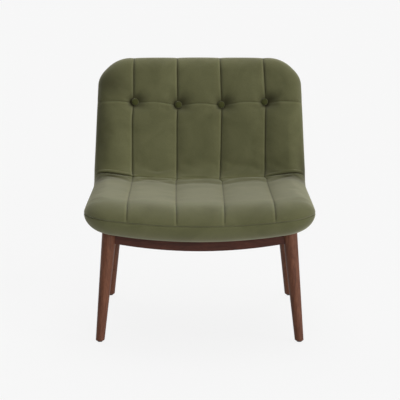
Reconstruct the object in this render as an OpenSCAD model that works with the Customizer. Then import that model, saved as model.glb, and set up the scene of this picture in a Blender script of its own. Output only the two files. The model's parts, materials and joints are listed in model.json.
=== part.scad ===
// Armless lounge chair: a scooped upholstered shell bolted to a splayed wooden base.
// The shell is drawn in the seat's own tilted frame: x across, y back along the seat, z square to it.
// Its pieces are offsets of one middle surface, which follows the side profile and dishes across it.

/* [Shell] */
// Width across the widest part of the seat
body_w = 706; // [660:2:760]
// How much the back narrows at each side by its top seam
back_taper = 14; // [0:1:16]
// Length of the seat's middle surface, from the front seam to the corner that the bend rounds off
seat_len = 589; // [560:1:640]
// Length of the back's middle surface, from that corner to the top seam
back_len = 477; // [440:1:540]
// Radius of the bend between seat and back, at the middle surface
bend_r = 110; // [100:1:125]
// Slope of the seat down towards the back, in degrees
seat_slope = 3; // [0:0.5:5]
// Lean of the back from upright, in degrees
back_recline = 18; // [14:0.5:24]
// Height of the front seam above the floor
front_seam_h = 379; // [340:1:430]
// Depth of the dish across the front of the seat
dish_front = 27; // [18:1:34]
// Depth of the dish across the back of the seat
dish_bend = 35; // [24:1:44]
// Depth of the dish across the foot of the back
dish_lumbar = 46; // [30:1:52]
// Depth of the dish across the top of the back
dish_top = 27; // [20:1:36]
// How far the middle of the front edge stands proud of its ends
nose_bow = 13; // [0:1:20]
// How far the middle of the top edge stands above its ends
top_crown = 7; // [0:1:15]
// Corner radius of the seat's front corners
front_corner_r = 86; // [76:1:110]
// Corner radius of the back's top corners
top_corner_r = 112; // [76:1:120]
// Radius of the padded rim, seen along its edge
rim_r = 55; // [46:1:60]

/* [Padding] */
// Rise of the seat's face above the middle surface
seat_face_h = 55; // [50:1:70]
// Rise of the back's face above the middle surface
back_face_h = 48; // [46:1:60]
// Drop of the underside below the middle surface
under_h = 55; // [52:1:70]
// Drop of the outside back below the middle surface
outback_h = 47; // [45:1:60]
// Drop of the seat's face towards its front seam, before the rim rounds it off
waterfall = 16; // [0:1:18]
// Radius of the face's bend between seat and back, which the padding eases
face_bend_r = 105; // [90:1:120]
// Share of the padding's height that is lost at the sides
side_thin_share = 0.15; // [0:0.01:0.2]
// Thickness of the quilted face covers
quilt_t = 10; // [8:0.5:12]
// Least thickness of a face cover, where it is drawn down
quilt_min_t = 3.5; // [3:0.5:4]
// Thickness of the covers of the underside and outside back
cover_t = 4; // [3:0.5:5]

/* [Quilting] */
// Width of the side panels, from an outer channel seam to the widest part of the seat
side_panel_w = 126.5; // [120:0.5:135]
// Depth of the channels between the pillowed panels
channel_depth = 6; // [3:0.5:6.5]
// Distance from a channel seam to the full height of its panel
channel_slope_w = 36; // [20:1:37]
// Distance of the cross seam below the top seam
row_drop = 169; // [160:1:200]
// Rise of the cross seam from the middle of the back to its sides
row_rise = 22; // [0:1:25]
// Depth of the cross seam
row_depth = 3; // [1:0.5:5]
// Depth of the crease between seat and back
crease_depth = 5; // [3:1:12]
// Angle round the bend at which the crease lies, in degrees
crease_angle = 42; // [30:1:50]
// Depth of the dimple at each tufting button, below the panels
dimple_depth = 25; // [14:1:28]
// Radius of the dimple at each tufting button
dimple_r = 38; // [30:1:40]
// Diameter of the tufting buttons
button_d = 24; // [18:1:28]
// Height of the tufting buttons' domed fronts
button_h = 4.5; // [3:0.5:6]

/* [Base] */
// Distance of the front legs' tops behind the front seam, along the seat
front_leg_back = 97; // [90:1:120]
// Distance of the rear legs' tops in front of the corner between seat and back
rear_leg_in = 76; // [73:1:110]
// Distance of the legs' tops inside the widest part of the seat
leg_inset = 77; // [73:1:100]
// Sideways splay of the front feet, from the legs' tops
front_splay = 32; // [10:1:50]
// Sideways splay of the rear feet, from the legs' tops
rear_splay = 30; // [10:1:50]
// Forward rake of the front feet, from the legs' tops
front_rake = 24; // [0:1:50]
// Backward rake of the rear feet, from the legs' tops
rear_rake = 95; // [40:1:140]
// Diameter of the legs at their tops
leg_top_d = 45; // [40:1:46]
// Diameter of the legs at the floor
leg_foot_d = 27; // [24:1:34]
// Width of the chamfer round the foot
foot_chamfer = 3; // [1:0.5:4]
// Height of the rails
rail_h = 35; // [30:1:45]
// Thickness of the rails
rail_t = 22; // [18:1:26]
// Height that the arched rails lose at their ends
rail_end_loss = 4; // [0:1:8]
// Diameter of the foot glides
glide_d = 18; // [14:1:20]
// Height of the foot glides
glide_h = 4; // [2:0.5:6]

/* [Shell frame] */
// Thickness of the plywood ribs
rib_t = 18; // [12:1:20]
// Distance of the ribs' outer faces inside the widest part of the seat
rib_inset = 65; // [65:1:75]
// Distance of the ribs' ends inside the front and top seams
rib_end = 74; // [70:1:80]
// Thickness of the cross rails
cross_t = 24; // [18:1:28]
// Distance of the top rail's middle below the top seam
top_rail_drop = 92; // [88:1:104]
// Distance of the lumbar rail's middle above the end of the bend
lumbar_rail_rise = 34; // [20:1:60]
// Rise of the ribs and cross rails above the middle surface
frame_rise = 1.5; // [1:0.5:3]
// Gap between the ribs and cross rails and the covers below them
frame_gap = 3; // [2:0.5:5]
// Width of the webbing straps
strap_w = 46; // [38:1:56]
// Thickness of the webbing straps
strap_t = 1.6; // [1:0.2:2]
// Distance of the foam's underside above the middle surface
foam_rise = 5; // [4.8:0.1:6]
// Distance of the foam's outline inside the seams
foam_inset = 24; // [22:1:28]

/* [Fasteners] */
// Diameter of the bolts that hold the base to the shell
bolt_d = 6; // [5:1:8]
// Distance of those bolts inside the legs' tops
bolt_in = 96; // [88:1:120]
// Diameter of the bolts' heads
bolt_head_d = 11; // [9:1:12]
// Height of the bolts' heads
bolt_head_h = 6; // [4:0.5:7]
// Outer diameter of the bolts' washers
washer_d = 16; // [14:1:17]
// Thickness of the bolts' washers
washer_t = 1.5; // [1:0.1:2]
// Depth of the counterbores that take the bolts' heads
counterbore_h = 12; // [8:1:14]
// Outer diameter of the tee nuts' flanges
tee_flange_d = 19; // [17:1:20]
// Thickness of the tee nuts' flanges
tee_flange_t = 1.5; // [1:0.1:2]
// Outer diameter of the tee nuts' barrels
tee_barrel_d = 8.5; // [8.2:0.1:10]
// Length of the tee nuts' barrels
tee_barrel_h = 12; // [8:1:14]
// Diameter of the wood screws
screw_d = 4; // [3:0.5:5]
// Length of the wood screws
screw_len = 45; // [35:1:50]
// Diameter of the wood screws' heads
screw_head_d = 8; // [7:0.5:9]
// Distance between the two screws of a rib joint
screw_pitch = 22; // [16:1:26]
// Diameter of the dowels
dowel_d = 8; // [6:1:10]
// Length of the dowels
dowel_len = 34; // [28:1:38]
// Distance between the two dowels of a joint
dowel_pitch = 14; // [12:1:16]
// Length of a corner block along each rail
block_len = 56; // [46:1:64]
// Height of the corner blocks
block_h = 16; // [12:1:18]
// Diameter of the tufting twines
twine_d = 2; // [1:0.5:3]
// Diameter of the discs that hold the twines behind the webbing
anchor_d = 20; // [16:1:24]
// Thickness of those discs
anchor_t = 2; // [1:0.5:2.5]

/* [Hidden] */
// Gap between pieces that touch
fit_gap = 0.3;
// Gap round fasteners and dowels in their holes
hole_gap = 0.1;
// Gap between the two covers along a seam
seam_gap = 0.3;
// How far a cutting shape runs past what it cuts
overrun = 2;
// Gap between the foam and the face covers
foam_gap = 2.4;
// Gap between the webbing and the rails, which takes up the straps' twist
strap_gap = 0.7;
// Gap between the back's straps and its cross rails, whose arches differ
back_strap_gap = 1.1;
// Diameter of the holes through the foam at the buttons
tuft_hole_d = 12;
// Height of the buttons' backs over the floors of their dimples
button_gap = 1.6;
// Width of a channel seam's drawn-down sides
stitch_w = 14;
// Depth of the pattern's end zones, in which its outline is rounded
end_zone = 130;

// The middle surface
half_w = body_w / 2;
rib_x = half_w - rib_inset;
leg_top_x = half_w - leg_inset;
rear_leg_back = seat_len - rear_leg_in;
bolt_x = leg_top_x - bolt_in;
channel_pitch = (body_w - 2 * side_panel_w) / 3;
front_foot_x = leg_top_x + front_splay;
rear_foot_x = leg_top_x + rear_splay;
front_foot_back = front_leg_back - front_rake;
rear_foot_back = rear_leg_back + rear_rake;
bend_angle = 90 - back_recline + seat_slope;
bend_reach = bend_r * tan(bend_angle / 2);
seat_run = seat_len - bend_reach;
bend_run = bend_r * bend_angle * PI / 180;
body_run = seat_run + bend_run + back_len - bend_reach;
back_start = seat_run + bend_run;
crease_s = seat_run + bend_r * crease_angle * PI / 180;
row_s = body_run - row_drop;
cover_joint_s = seat_run + bend_run / 2;

function heading(s) = bend_angle * max(0, min(1, (s - seat_run) / bend_run));
function profile(s) =
    let (turn = heading(s), beyond = max(0, s - back_start))
    [
        min(s, seat_run) + bend_r * sin(turn) + beyond * cos(turn),
        bend_r * (1 - cos(turn)) + beyond * sin(turn)
    ];
function dish_depth(s) =
    lookup(s, [[0, dish_front], [seat_run, dish_bend], [back_start, dish_lumbar], [body_run, dish_top]]);
function dish_r(s) = (half_w * half_w / dish_depth(s) + dish_depth(s)) / 2;
function dish(x, s) = dish_r(s) - sqrt(dish_r(s) * dish_r(s) - x * x);
function across(x) = (x / half_w) * (x / half_w);
function thinned(x) = 1 - side_thin_share * across(x);
// Padding that eases the face's bend to its own, larger radius
function bend_fill(s) =
    let (
        tight = bend_r - (seat_face_h + back_face_h) / 2,
        extra = face_bend_r - tight,
        off = abs(s - cover_joint_s),
        turn = min(off / bend_run, 0.5) * bend_angle,
        centres = extra / cos(bend_angle / 2),
        left = max(0, extra * tan(bend_angle / 2) - max(0, off - bend_run / 2))
    )
    off < bend_run / 2
    ? tight + centres * cos(turn) - sqrt(face_bend_r * face_bend_r - pow(centres * sin(turn), 2))
    : face_bend_r - sqrt(face_bend_r * face_bend_r - left * left);
function face_rise(s) =
    lookup(s, [[seat_run, seat_face_h], [back_start, back_face_h]])
    - waterfall * slope_in(s, end_zone) + bend_fill(s);
function outer_drop(s) = lookup(s, [[seat_run, under_h], [back_start, outback_h]]);
// Height of the underside of the cover, and of the space above it, over the profile
function belly(x, s) = dish(x, s) - outer_drop(s) * thinned(x);
function hollow(x, s) = dish(x, s) - (outer_drop(s) - cover_t) * thinned(x);
function belly_tilt(x, s) =
    atan((belly(x + leg_top_d / 2, s) - belly(x - leg_top_d / 2, s)) / leg_top_d);
function dish_tilt(x, s) = asin(x / dish_r(s));

// The flat pattern: x across, s along the profile, with rounded corners
function corner_r(s) = s < body_run / 2 ? front_corner_r : top_corner_r;
function edge_gap(x, s) =
    let (
        r = corner_r(s),
        over_x = abs(x) - half_w + r,
        over_s = abs(s - body_run / 2) - body_run / 2 + r
    )
    r - norm([max(over_x, 0), max(over_s, 0)]) - min(max(over_x, over_s), 0);
function end_s(x, r, inset) =
    let (over = min(abs(x) - half_w + r, r - inset))
    over <= 0 ? inset : r - sqrt(pow(r - inset, 2) - over * over);
function zoned_s(x, level, inset) =
    let (
        first = end_s(x, front_corner_r, inset),
        last = body_run - end_s(x, top_corner_r, inset),
        top_zone = body_run - end_zone
    )
    level < end_zone ? first + (end_zone - first) * level / end_zone
    : level > top_zone ? last - (last - top_zone) * (body_run - level) / end_zone
    : level;
function fade(distance) = max(0, 1 - abs(distance) / end_zone);
function bowed_s(x, s) =
    s + across(x) * (nose_bow * fade(s) - top_crown * fade(body_run - s) + row_rise * fade(s - row_s));
function width_share(s) = lookup(s, [[back_start, 1], [body_run, 1 - back_taper / half_w]]);
// A point at height h over the middle surface, at x and s in the flat pattern
function lifted(x, s, h) =
    let (
        wide = x * width_share(s),
        along = bowed_s(x, s),
        middle = profile(along),
        lift = h + dish(wide, along)
    )
    [wide, middle[0] - lift * sin(heading(along)), middle[1] + lift * cos(heading(along))];

// Heights of the sheets that bound the soft pieces
function rounding(gap, r) = gap >= r ? 1 : gap <= 0 ? 0 : sqrt(1 - pow(1 - gap / r, 2));
function slope_in(distance, w) = pow(1 - min(abs(distance) / w, 1), 2);
function channel_gap(x) =
    abs(abs(x) - (abs(x) < channel_pitch ? channel_pitch / 2 : channel_pitch * 1.5));
function dimple_gap(x, s) = norm([channel_gap(x), s - row_s]);
function dimple(x, s) =
    dimple_depth * slope_in(max(0, dimple_gap(x, s) - button_d / 2), dimple_r - button_d / 2);
function drawn_in(x, s) = max(
    dimple(x, s),
    channel_depth * slope_in(channel_gap(x), channel_slope_w)
    + row_depth * slope_in(s - row_s, channel_slope_w)
    + crease_depth * slope_in(s - crease_s, channel_slope_w)
);
function face_h(x, s) =
    rounding(edge_gap(x, s), rim_r) * (face_rise(s) * thinned(x) - drawn_in(x, s));
function lining_h(x, s) =
    rounding(edge_gap(x, s) - quilt_t, rim_r - quilt_t) * (face_rise(s) * thinned(x) - quilt_t);
function quilt_top(x, s) = max(face_h(x, s), seam_gap / 2);
function quilt_bottom(x, s) = max(min(lining_h(x, s), face_h(x, s) - quilt_min_t), seam_gap / 2);
function foam_top(x, s) = quilt_bottom(x, s) - foam_gap;
function foam_bottom(x, s) = foam_rise;
function cover_bottom(x, s) =
    min(-rounding(edge_gap(x, s), rim_r) * outer_drop(s) * thinned(x), -seam_gap / 2);
function cover_top(x, s) =
    min(-rounding(edge_gap(x, s) - cover_t, rim_r - cover_t)
    * (outer_drop(s) - cover_t) * thinned(x), -seam_gap / 2);

// Where the sheets are sampled: the rim by equal angles, the rest by hand-set places
rim_steps = [for (turn = [0 : 22.5 : 90]) rim_r * (1 - cos(turn))];
panel_x = channel_pitch * 1.5 + dimple_r;
function half_columns(steps) = [
    for (seam = [channel_pitch / 2, channel_pitch * 1.5], step = steps) seam + step,
    for (i = [4 : -1 : 0]) half_w - rim_steps[i]
];
face_half = half_columns([-dimple_r, -stitch_w, 0, stitch_w, dimple_r]);
plain_half = half_columns([-dimple_r, 0, dimple_r]);
function both_sides(half) = [for (i = [len(half) - 1 : -1 : 0]) -half[i], each half];
face_columns = both_sides(face_half);
plain_columns = both_sides(plain_half);
front_levels = [each rim_steps, (rim_r + end_zone) / 2, end_zone];
top_levels = [
    body_run - end_zone, body_run - (rim_r + end_zone) / 2,
    for (i = [4 : -1 : 0]) body_run - rim_steps[i]
];
function spaced(first, last, count) = [for (i = [1 : count]) first + (last - first) * i / count];
seat_levels = [
    each front_levels,
    each spaced(end_zone, seat_run, 2),
    each spaced(seat_run, crease_s - stitch_w, 3),
    crease_s - seam_gap / 2
];
back_levels = [
    crease_s + seam_gap / 2,
    crease_s + stitch_w,
    each spaced(crease_s + stitch_w, back_start, 2),
    each spaced(back_start, row_s - dimple_r, 3),
    row_s - stitch_w, row_s, row_s + stitch_w,
    each top_levels
];
under_levels = [
    each front_levels,
    each spaced(end_zone, seat_run, 2),
    each spaced(seat_run, cover_joint_s - seam_gap / 2, 4)
];
outback_levels = [
    cover_joint_s + seam_gap / 2,
    each spaced(cover_joint_s, back_start, 4),
    each spaced(back_start, body_run - end_zone, 2),
    for (i = [1 : len(top_levels) - 1]) top_levels[i]
];

// The shell's place on the base: the middle of the chair's length is the origin
rise_limits = [quilt_points(seat_levels), quilt_points(back_levels), outback_points()];
function quilt_points(levels) =
    [for (s = levels) each [for (x = [0, channel_pitch]) to_world(lifted(x, s, quilt_top(x, s)))]];
function outback_points() =
    [for (s = outback_levels) to_world(lifted(0, s, cover_bottom(0, s)))];
function to_world(p) = [
    p[0],
    p[1] * cos(seat_slope) + p[2] * sin(seat_slope),
    front_seam_h - p[1] * sin(seat_slope) + p[2] * cos(seat_slope)
];
outline_y = [for (sheet = rise_limits) each [for (p = sheet) p[1]]];
front_y = -(min(outline_y) + max(outline_y)) / 2;

velvet = "#5d6040";
walnut = "#6a4132";
plywood = "#c8a878";
foam_white = "#e8e2c8";
steel = "#b0b3b6";

// Frames that the pieces are drawn in
module in_shell() {
    translate([0, front_y, front_seam_h]) rotate([-seat_slope, 0, 0]) children();
}
module at_profile(s) {
    translate([0, profile(s)[0], profile(s)[1]]) rotate([heading(s), 0, 0]) children();
}
module bolt_pair(s) {
    for (x = [-bolt_x, bolt_x]) translate([x, s, 0]) children();
}
button_xs = [for (i = [-1.5 : 1 : 1.5]) i * channel_pitch];
module at_button(x) {
    wide = x * width_share(row_s);
    along = bowed_s(x, row_s);
    in_shell() at_profile(along)
        translate([wide, 0, dish(wide, along)]) rotate([0, -dish_tilt(wide, along), 0]) children();
}

// A closed solid between two sheets of points with the same rows and columns.
// The triangles of the left half mirror those of the right half.
function sheet_faces(rows, columns, first, up) = [
    for (j = [0 : rows - 2], i = [0 : columns - 2])
        let (
            a = first + j * columns + i, b = a + 1, c = a + columns + 1, d = a + columns,
            halves = i < columns / 2 - 1 ? [[a, b, d], [b, c, d]] : [[a, b, c], [a, c, d]]
        )
        for (half = halves) up ? [half[0], half[2], half[1]] : half
];
function rim_loop(rows, columns) = [
    for (i = [0 : columns - 2]) i,
    for (j = [0 : rows - 2]) j * columns + columns - 1,
    for (i = [columns - 1 : -1 : 1]) (rows - 1) * columns + i,
    for (j = [rows - 1 : -1 : 1]) j * columns
];
module between_sheets(upper, lower) {
    rows = len(upper);
    columns = len(upper[0]);
    count = rows * columns;
    loop = rim_loop(rows, columns);
    polyhedron(
        points = [for (sheet = [upper, lower]) each [for (row = sheet) each row]],
        faces = [
            each sheet_faces(rows, columns, 0, true),
            each sheet_faces(rows, columns, count, false),
            for (k = [0 : len(loop) - 1])
                let (a = loop[k], b = loop[(k + 1) % len(loop)])
                each [[a, b, b + count], [a, b + count, a + count]]
        ]
    );
}
module soft_sheet(levels, columns, top_inset, bottom_inset, top_h, bottom_h) {
    between_sheets(
        [for (level = levels) pattern_row(level, columns, top_inset, top_h)],
        [for (level = levels) pattern_row(level, columns, bottom_inset, bottom_h)]
    );
}
function drawn_x(x, inset) =
    let (over = max(0, abs(x) - panel_x))
    x - sign(x) * over * inset / (half_w - panel_x);
function pattern_row(level, columns, inset, height) = [
    for (column = columns)
        let (x = drawn_x(column, inset), s = zoned_s(x, level, inset)) lifted(x, s, height(x, s))
];

module seat_face_cover() {
    color(velvet) in_shell() soft_sheet(
        seat_levels, face_columns, 0, quilt_t,
        function (x, s) quilt_top(x, s), function (x, s) quilt_bottom(x, s)
    );
}
module back_face_cover() {
    color(velvet) in_shell() soft_sheet(
        back_levels, face_columns, 0, quilt_t,
        function (x, s) quilt_top(x, s), function (x, s) quilt_bottom(x, s)
    );
}
module seat_foam() {
    color(foam_white) in_shell() soft_sheet(
        seat_levels, plain_columns, foam_inset, foam_inset,
        function (x, s) foam_top(x, s), function (x, s) foam_bottom(x, s)
    );
}
module back_foam() {
    color(foam_white) difference() {
        in_shell() soft_sheet(
            back_levels, face_columns, foam_inset, foam_inset,
            function (x, s) foam_top(x, s), function (x, s) foam_bottom(x, s)
        );
        for (x = button_xs) at_button(x) cylinder(h = back_face_h + overrun, d = tuft_hole_d);
    }
}
module underside_cover() {
    color(velvet) difference() {
        in_shell() soft_sheet(
            under_levels, plain_columns, cover_t, 0,
            function (x, s) cover_top(x, s), function (x, s) cover_bottom(x, s)
        );
        in_shell() for (s = [front_leg_back, rear_leg_back]) bolt_pair(s)
            translate([0, 0, -under_h]) cylinder(h = under_h, d = bolt_d + 2 * fit_gap);
    }
}
module outside_back_cover() {
    color(velvet) in_shell() soft_sheet(
        outback_levels, plain_columns, cover_t, 0,
        function (x, s) cover_top(x, s), function (x, s) cover_bottom(x, s)
    );
}

// Tufting buttons, their twines and the discs behind the webbing.
// A twine parts the threads of the cover, so the cover has no hole and the twine ends under it.
// The buttons' backs taper as the dimples' sides do.
dimple_side = dimple(channel_pitch / 2 + stitch_w, row_s + stitch_w);
button_back_h = (dimple_depth - dimple_side) / (stitch_w * sqrt(2)) * button_d / 2;
function dimple_floor(x) = back_face_h * thinned(x) - dimple_depth;
anchor_top_h = frame_rise + back_strap_gap - fit_gap;
knot_d = 2.5 * twine_d;
module tufting_button(x) {
    dome_r = (button_d * button_d / 4 / button_h + button_h) / 2;
    color(velvet) at_button(x) translate([0, 0, dimple_floor(x) + button_gap]) {
        cylinder(h = button_back_h, d1 = twine_d, d2 = button_d, $fn = 64);
        translate([0, 0, button_back_h]) intersection() {
            cylinder(h = button_h, d = button_d, $fn = 64);
            translate([0, 0, button_h - dome_r]) sphere(r = dome_r, $fn = 96);
        }
    }
}
module button_twines() {
    low = anchor_top_h - anchor_t - fit_gap;
    color("tan") for (x = button_xs) at_button(x) {
        high = dimple_floor(x) - quilt_min_t - fit_gap;
        translate([0, 0, low]) cylinder(h = high - low, d = twine_d, $fn = 24);
        translate([0, 0, low - twine_d]) sphere(d = knot_d, $fn = 32);
    }
}
module twine_anchors() {
    color(plywood) for (x = button_xs) at_button(x) translate([0, 0, anchor_top_h - anchor_t])
        difference() {
            cylinder(h = anchor_t, d = anchor_d, $fn = 48);
            translate([0, 0, -overrun])
                cylinder(h = anchor_t + 2 * overrun, d = twine_d + 2 * hole_gap, $fn = 24);
        }
}

// Ribs: flat plates that follow the profile at the shell's sides
rib_mid_x = rib_x - rib_t / 2;
function rib_point(s, h) =
    let (lift = dish(rib_mid_x, s) + h)
    [profile(s)[0] - lift * sin(heading(s)), profile(s)[1] + lift * cos(heading(s))];
function rib_depth(s) = (outer_drop(s) - cover_t) * thinned(rib_x) - frame_gap;
rib_stations = [
    rib_end,
    each spaced(rib_end, seat_run, 4),
    each spaced(seat_run, back_start, 12),
    each spaced(back_start, body_run - rib_end, 3)
];
module rib_outline() {
    count = len(rib_stations);
    polygon([
        for (i = [0 : count - 1]) rib_point(rib_stations[i], frame_rise),
        for (i = [count - 1 : -1 : 0]) rib_point(rib_stations[i], -rib_depth(rib_stations[i]))
    ]);
}
module rib(side) {
    color(plywood) in_shell() difference() {
        translate([side * rib_mid_x + rib_t / 2, 0, 0]) rotate([90, 0, -90]) mirror([1, 0, 0])
            linear_extrude(rib_t) rib_outline();
        rib_screws(hole_gap);
    }
}

// Cross rails: boards with arched edges that follow the dish
module arched_edge_disc(middle_h, end_x, end_h) {
    rise = end_h - middle_h;
    r = (end_x * end_x / rise + rise) / 2;
    translate([0, middle_h + r]) circle(r, $fn = 1440);
}
module arched_board(end_x, half_len, thick, top, bottom) {
    tall = top[1] - bottom[0];
    translate([0, thick / 2, 0]) rotate([90, 0, 0]) linear_extrude(thick) difference() {
        intersection() {
            arched_edge_disc(bottom[0], end_x, bottom[1]);
            translate([-half_len, bottom[0] - overrun]) square([2 * half_len, tall + 2 * overrun]);
        }
        arched_edge_disc(top[0], end_x, top[1]);
    }
}
cross_end_x = rib_x - rib_t;
module cross_board(s) {
    arched_board(
        cross_end_x, cross_end_x, cross_t,
        [frame_rise, frame_rise + dish(cross_end_x, s)],
        [hollow(0, s) + frame_gap, hollow(cross_end_x, s) + frame_gap]
    );
}
cross_stations = [
    front_leg_back, rear_leg_back, back_start + lumbar_rail_rise, body_run - top_rail_drop
];
module at_cross(s) {
    if (s <= rear_leg_back) translate([0, s, 0]) children();
    else at_profile(s) children();
}
module cross_rail(s) {
    color(plywood) in_shell() difference() {
        at_cross(s) cross_board(s);
        rib_screws(hole_gap);
        if (s <= rear_leg_back) bolt_pair(s) {
            translate([0, 0, hollow(bolt_x, s) - overrun])
                cylinder(h = outer_drop(s), d = bolt_d + 2 * fit_gap);
            translate([0, 0, tee_top(s) - tee_flange_t - tee_barrel_h - fit_gap])
                cylinder(h = tee_barrel_h + rail_h, d = tee_barrel_d + 2 * hole_gap);
            translate([0, 0, tee_top(s) - tee_flange_t])
                cylinder(h = rail_h, d = tee_flange_d + 2 * hole_gap);
        }
    }
}
module rib_screws(gap) {
    for (s = cross_stations, side = [-1, 1], row = [-0.5, 0.5])
        at_cross(s) translate([
            side * rib_x, 0,
            (hollow(cross_end_x, s) + dish(cross_end_x, s)) / 2 + row * screw_pitch
        ]) rotate([0, -90 * side, 0]) {
            out = gap > 0 ? overrun : 0;
            translate([0, 0, -out]) cylinder(h = screw_len + out + gap, d = screw_d + 2 * gap, $fn = 24);
            cylinder(h = screw_head_d / 2, d1 = screw_head_d + 2 * gap, d2 = screw_d / 2, $fn = 32);
        }
}
module frame_screws() { color(steel) in_shell() rib_screws(0); }

// Webbing: straps that run lengthwise over two cross rails
strap_xs = [for (i = [-3 : 3]) i * channel_pitch / 2];
module strap(x, from_s, to_s, gap) {
    from_h = dish(x, from_s);
    to_h = dish(x, to_s);
    reach = to_s - from_s;
    translate([x, 0, from_h + frame_rise + gap])
        rotate([atan((to_h - from_h) / reach), -(dish_tilt(x, from_s) + dish_tilt(x, to_s)) / 2, 0])
        translate([-strap_w / 2, -cross_t / 2, 0])
        cube([strap_w, norm([reach, to_h - from_h]) + cross_t, strap_t]);
}
module seat_webbing() {
    color("black") in_shell() for (x = strap_xs)
        translate([0, front_leg_back, 0]) strap(x, front_leg_back, rear_leg_back, strap_gap);
}
module back_webbing() {
    from_s = cross_stations[2];
    to_s = cross_stations[3];
    color("black") difference() {
        in_shell() for (x = strap_xs)
            at_profile(from_s) strap(x * width_share(row_s), from_s, to_s, back_strap_gap);
        for (x = button_xs) at_button(x)
            cylinder(h = foam_rise + overrun, d = twine_d + 2 * fit_gap, $fn = 24);
    }
}

// Legs: leaning cones, level at the floor and cut along the belly at the top
front_top = to_world([leg_top_x, front_leg_back, belly(leg_top_x, front_leg_back)]);
rear_top = to_world([leg_top_x, rear_leg_back, belly(leg_top_x, rear_leg_back)]);
leg_reach = leg_top_d;
module leaning_cone(side, foot_x, foot_back, top, gap) {
    lean = [side * (top[0] - foot_x), top[1] - foot_back, top[2]];
    growth = (leg_top_d - leg_foot_d) / norm(lean);
    translate([side * foot_x, front_y + foot_back, 0])
        rotate([0, -acos(lean[2] / norm(lean)), 180 + atan2(lean[1], lean[0])])
        translate([0, 0, -leg_reach]) cylinder(
            h = norm(lean) + 2 * leg_reach,
            d1 = leg_foot_d - growth * leg_reach + 2 * gap,
            d2 = leg_top_d + growth * leg_reach + 2 * gap,
            $fn = 72
        );
}
module front_cone(side, gap) { leaning_cone(side, front_foot_x, front_foot_back, front_top, gap); }
module rear_cone(side, gap) { leaning_cone(side, rear_foot_x, rear_foot_back, rear_top, gap); }
module below_belly(side, s) {
    big = 2 * front_seam_h;
    in_shell() translate([side * leg_top_x, s, 0]) rotate([heading(s), 0, 0])
        translate([0, 0, belly(leg_top_x, s) - fit_gap])
        rotate([0, -side * belly_tilt(leg_top_x, s), 0])
        translate([-big / 2, -big / 2, -big]) cube(big);
}
module above_glide(foot_x, foot_back) {
    big = 2 * front_seam_h;
    translate([foot_x, front_y + foot_back, glide_h]) {
        cylinder(
            h = foot_chamfer, d1 = leg_foot_d - foot_chamfer, d2 = leg_foot_d + foot_chamfer, $fn = 72
        );
        translate([-big / 2, -big / 2, foot_chamfer]) cube(big);
    }
}
module leg(side, foot_x, foot_back, s) {
    color(walnut) difference() {
        intersection() {
            children();
            below_belly(side, s);
            above_glide(side * foot_x, foot_back);
        }
        in_shell() joint_dowels(hole_gap);
        glide_shapes(hole_gap);
    }
}
module front_leg(side) {
    leg(side, front_foot_x, front_foot_back, front_leg_back) front_cone(side, 0);
}
module rear_leg(side) {
    leg(side, rear_foot_x, rear_foot_back, rear_leg_back) rear_cone(side, 0);
}
nail_d = screw_d * 0.75;
nail_len = glide_d;
module glide_shapes(gap) {
    for (side = [-1, 1], foot = [[front_foot_x, front_foot_back], [rear_foot_x, rear_foot_back]])
        translate([side * foot[0], front_y + foot[1], 0]) {
            cylinder(h = glide_h, d1 = glide_d - foot_chamfer, d2 = glide_d, $fn = 48);
            cylinder(h = nail_len + gap, d = nail_d + 2 * gap, $fn = 24);
        }
}
module foot_glides() { color("#2a2522") glide_shapes(0); }

// Rails of the base, with ends scribed to the legs
function rail_top(x, s) = belly(x, s - rail_t / 2) - fit_gap;
module base_cross_rail(s) {
    color(walnut) difference() {
        in_shell() translate([0, s, 0]) arched_board(
            leg_top_x, leg_top_x - rail_t / 2 - fit_gap, rail_t,
            [rail_top(0, s), rail_top(leg_top_x, s)],
            [rail_top(0, s) - rail_h, rail_top(leg_top_x, s) - rail_h + rail_end_loss]
        );
        for (side = [-1, 1]) {
            if (s < seat_run / 2) front_cone(side, hole_gap);
            else rear_cone(side, hole_gap);
        }
        in_shell() joint_dowels(hole_gap);
        in_shell() block_screws(hole_gap);
        in_shell() bolt_pair(s) {
            low = rail_top(bolt_x, s) - rail_h;
            translate([0, 0, low - overrun]) cylinder(h = 2 * rail_h, d = bolt_d + 2 * fit_gap);
            translate([0, 0, low - rail_h])
                cylinder(h = rail_h + counterbore_h, d = washer_d + 2 * fit_gap);
        }
    }
}
side_run = rear_leg_back - front_leg_back;
side_pitch = atan(
    (belly(leg_top_x, seat_run) - belly(leg_top_x, front_leg_back)) / (seat_run - front_leg_back)
);
side_drop = tan(belly_tilt(leg_top_x, front_leg_back)) * rail_t / 2;
module side_rail(side) {
    top = rail_top(leg_top_x, front_leg_back);
    color(walnut) difference() {
        in_shell() translate([side * leg_top_x, front_leg_back, top]) mirror([side < 0 ? 1 : 0, 0, 0])
            rotate([90 + side_pitch, 0, 0]) mirror([0, 0, 1])
            linear_extrude(side_run) polygon([
                [-rail_t / 2, -side_drop - fit_gap], [rail_t / 2, side_drop - fit_gap],
                [rail_t / 2, -rail_h], [-rail_t / 2, -rail_h]
            ]);
        front_cone(side, hole_gap);
        rear_cone(side, hole_gap);
        in_shell() joint_dowels(hole_gap);
        in_shell() block_screws(hole_gap);
    }
}
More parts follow.
